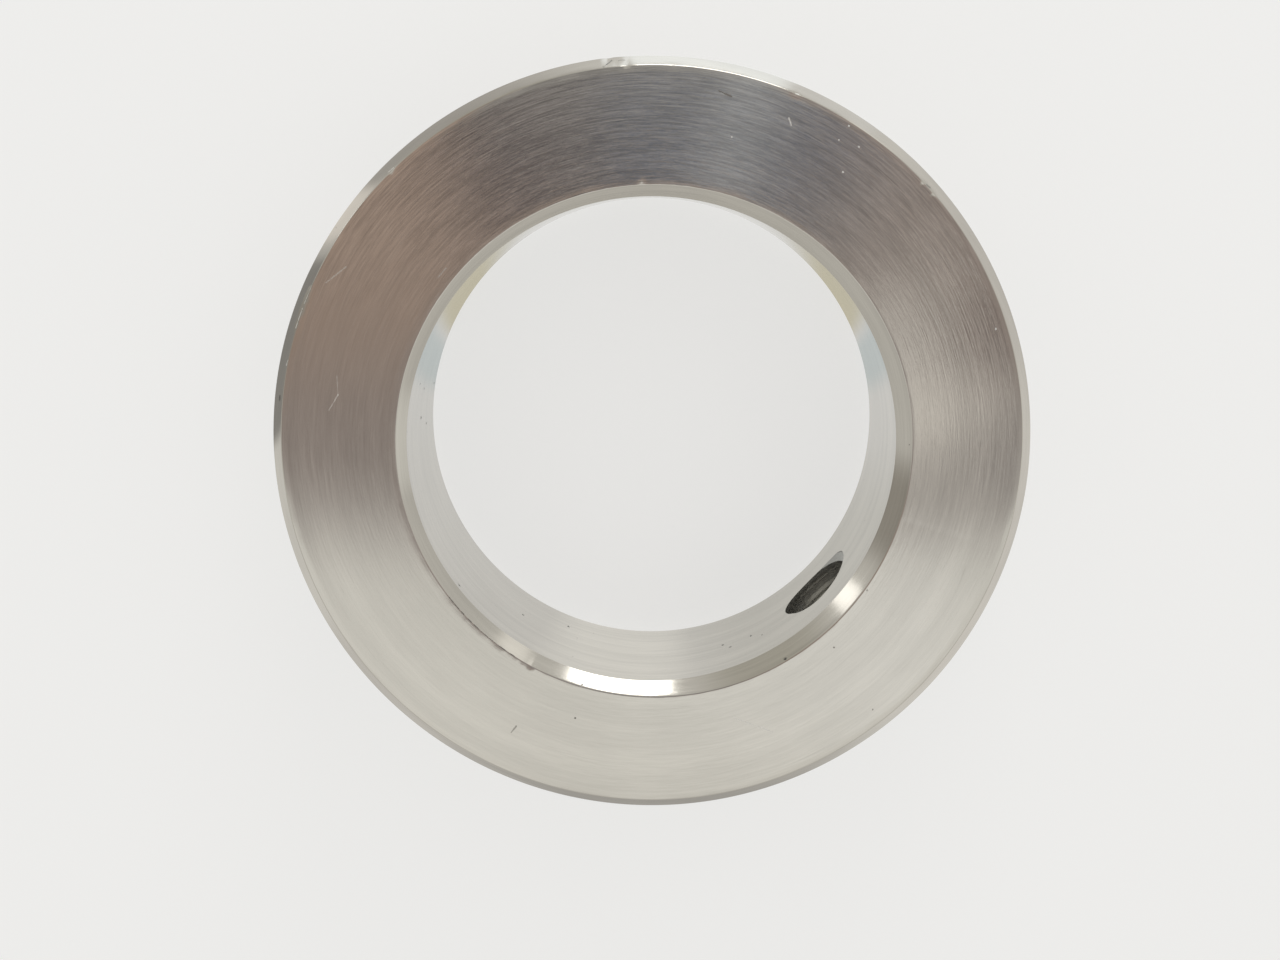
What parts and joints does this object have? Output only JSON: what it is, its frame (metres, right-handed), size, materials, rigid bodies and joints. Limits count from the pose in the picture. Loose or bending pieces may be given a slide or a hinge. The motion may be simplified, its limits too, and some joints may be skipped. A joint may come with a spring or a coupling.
{
  "type": "shaft collar",
  "caption": "Plain turned steel ring that slides on a round shaft and is locked there by a socket grub screw in a tapped radial hole.",
  "frame": {"origin": "centre of the bore, in the plane of the end face that the collar lies on", "axes": "+Z along the bore and up, -Y outwards along the grub screw"},
  "size_m": [0.0762, 0.0762, 0.0222],
  "materials": {
    "collar_steel": "turned, with fine concentric marks on the end faces",
    "screw_steel": "machined"
  },
  "bodies": {
    "collar": {"collar": "collar_steel"},
    "grub_screw": {"grub_screw": "screw_steel"}
  },
  "joints": [
    {"name": "screw_travel", "type": "slide", "parent": "collar", "child": "grub_screw", "axis": [0, 1, 0], "range_m": [0, 0.00317]}
  ]
}
